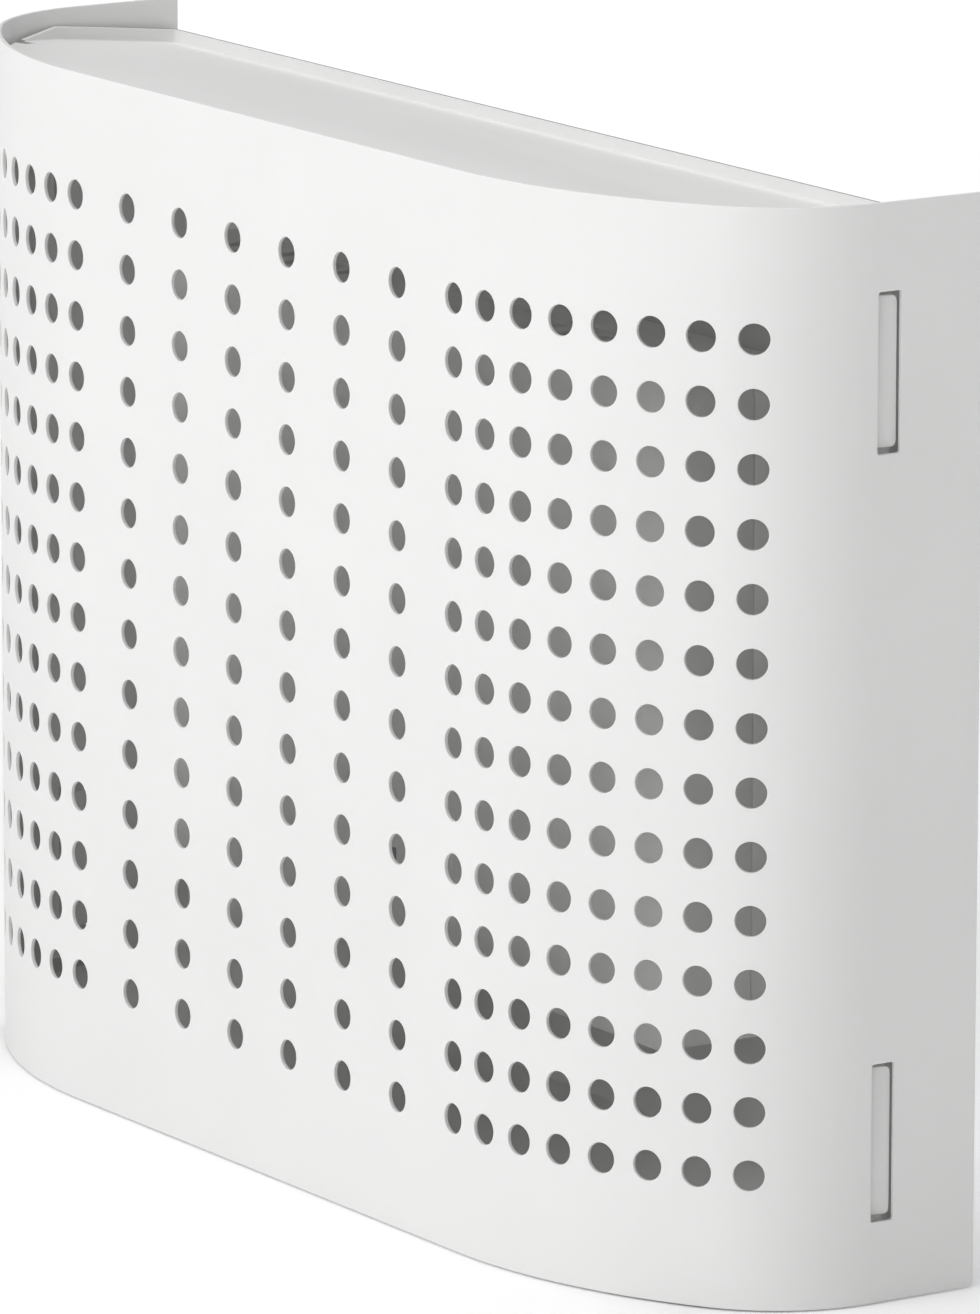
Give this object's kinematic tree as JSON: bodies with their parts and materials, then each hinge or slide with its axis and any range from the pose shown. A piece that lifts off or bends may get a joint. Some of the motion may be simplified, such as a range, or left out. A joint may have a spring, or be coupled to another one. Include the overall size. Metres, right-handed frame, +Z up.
{
  "type": "wireless router",
  "caption": "Wireless router in a white perforated sheet-steel wall housing, with a slide-on front cover held by side latch tongues.",
  "frame": {"origin": "under the middle of the housing, level with the lower rim of the front cover", "axes": "+Z up, -Y out of the perforated front, +Y towards the wall, +X to the right as seen from the front"},
  "size_m": [0.33, 0.079, 0.24],
  "materials": {
    "cover_paint": "fine white powder coat",
    "tray_paint": "fine white powder coat",
    "case_plastic": "fine matt texture",
    "zinc_steel": "zinc plated",
    "circuit_board": "green solder mask",
    "chip_black": "moulded epoxy",
    "pad_blue": "soft silicone",
    "sink_aluminium": "extruded, plain",
    "shield_steel": "tin plated sheet",
    "black_plastic": "satin",
    "button_plastic": "satin",
    "cable_black": "smooth sheath",
    "clear_plastic": "clear polished",
    "light_body": "milky resin"
  },
  "bodies": {
    "tray": {"back_panel": "tray_paint", "top_plate": "tray_paint", "bottom_plate": "tray_paint", "module_rear_case": "case_plastic", "module_front_case": "case_plastic", "case_screw_1": "zinc_steel", "case_screw_2": "zinc_steel", "case_screw_3": "zinc_steel", "case_screw_4": "zinc_steel", "main_board": "circuit_board", "board_screw_1": "zinc_steel", "board_screw_2": "zinc_steel", "board_screw_3": "zinc_steel", "board_screw_4": "zinc_steel", "module_standoff_1": "zinc_steel", "module_standoff_2": "zinc_steel", "module_standoff_3": "zinc_steel", "module_standoff_4": "zinc_steel", "processor": "chip_black", "thermal_pad": "pad_blue", "heat_sink": "sink_aluminium", "radio_shield_1": "shield_steel", "radio_shield_2": "shield_steel", "lan_jack_block": "shield_steel", "wan_jack": "shield_steel", "power_jack": "black_plastic", "power_switch": "black_plastic", "wps_switch": "black_plastic", "reset_switch": "black_plastic", "antenna_1": "circuit_board", "antenna_2": "circuit_board", "antenna_3": "circuit_board", "antenna_4": "circuit_board", "antenna_cable_1": "cable_black", "antenna_cable_2": "cable_black", "antenna_cable_3": "cable_black", "antenna_cable_4": "cable_black", "light_pipe": "clear_plastic", "status_light_1": "light_body", "status_light_2": "light_body", "status_light_3": "light_body", "status_light_4": "light_body"},
    "cover": {"front_cover": "cover_paint"},
    "power_button": {"power_button": "button_plastic"},
    "wps_button": {"wps_button": "button_plastic"},
    "reset_button": {"reset_button": "button_plastic"},
    "latch_tongue_left_lower": {"latch_tongue_left_lower": "tray_paint"},
    "latch_tongue_left_upper": {"latch_tongue_left_upper": "tray_paint"},
    "latch_tongue_right_lower": {"latch_tongue_right_lower": "tray_paint"},
    "latch_tongue_right_upper": {"latch_tongue_right_upper": "tray_paint"}
  },
  "joints": [
    {"name": "cover_slide", "type": "slide", "parent": "tray", "child": "cover", "axis": [0, -1, 0], "range_m": [0, 0.09]},
    {"name": "left_lower_tongue_flex", "type": "hinge", "parent": "tray", "child": "latch_tongue_left_lower", "pos_m": [-0.16, 0.00327, 0.0354], "axis": [0, 0, -1], "range_deg": [0, 8], "stiffness_Nm_per_rad": 0.6},
    {"name": "left_upper_tongue_flex", "type": "hinge", "parent": "tray", "child": "latch_tongue_left_upper", "pos_m": [-0.16, 0.00327, 0.2034], "axis": [0, 0, -1], "range_deg": [0, 8], "stiffness_Nm_per_rad": 0.6},
    {"name": "right_lower_tongue_flex", "type": "hinge", "parent": "tray", "child": "latch_tongue_right_lower", "pos_m": [0.16, 0.00327, 0.0354], "axis": [0, 0, 1], "range_deg": [0, 8], "stiffness_Nm_per_rad": 0.6},
    {"name": "right_upper_tongue_flex", "type": "hinge", "parent": "tray", "child": "latch_tongue_right_upper", "pos_m": [0.16, 0.00327, 0.2034], "axis": [0, 0, 1], "range_deg": [0, 8], "stiffness_Nm_per_rad": 0.6},
    {"name": "power_button_press", "type": "slide", "parent": "tray", "child": "power_button", "axis": [0, 0, 1], "range_m": [0, 0.0015], "stiffness_N_per_m": 600, "springref_m": -0.0005},
    {"name": "wps_button_press", "type": "slide", "parent": "tray", "child": "wps_button", "axis": [0, 0, 1], "range_m": [0, 0.0015], "stiffness_N_per_m": 400, "springref_m": -0.0005},
    {"name": "reset_button_press", "type": "slide", "parent": "tray", "child": "reset_button", "axis": [0, 0, 1], "range_m": [0, 0.001], "stiffness_N_per_m": 400, "springref_m": -0.0005}
  ]
}
